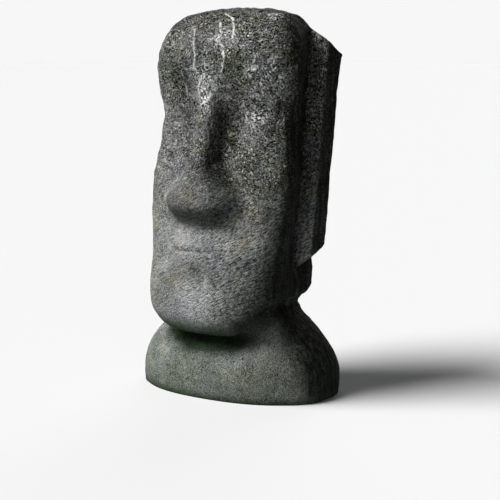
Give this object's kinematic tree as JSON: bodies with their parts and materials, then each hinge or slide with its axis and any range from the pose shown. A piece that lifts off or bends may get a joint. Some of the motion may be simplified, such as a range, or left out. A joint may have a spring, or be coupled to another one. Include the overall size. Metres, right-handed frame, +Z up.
{
  "type": "moai statue",
  "caption": "Carved stone moai: a tall, long-nosed head with slab ears and a jutting chin on rounded shoulders, cut off flat at the ground.",
  "frame": {"origin": "on the flat underside, midway between the two shoulders, under the middle of the neck", "axes": "+Z up to the crown; the face looks along -Y; the statue's left ear is on +X"},
  "size_m": [1.7508, 1.3891, 3.2],
  "materials": {
    "tuff": "rough, weathered, with lichen and mineral streaks"
  },
  "bodies": {
    "root": {"moai": "tuff"}
  },
  "joints": []
}
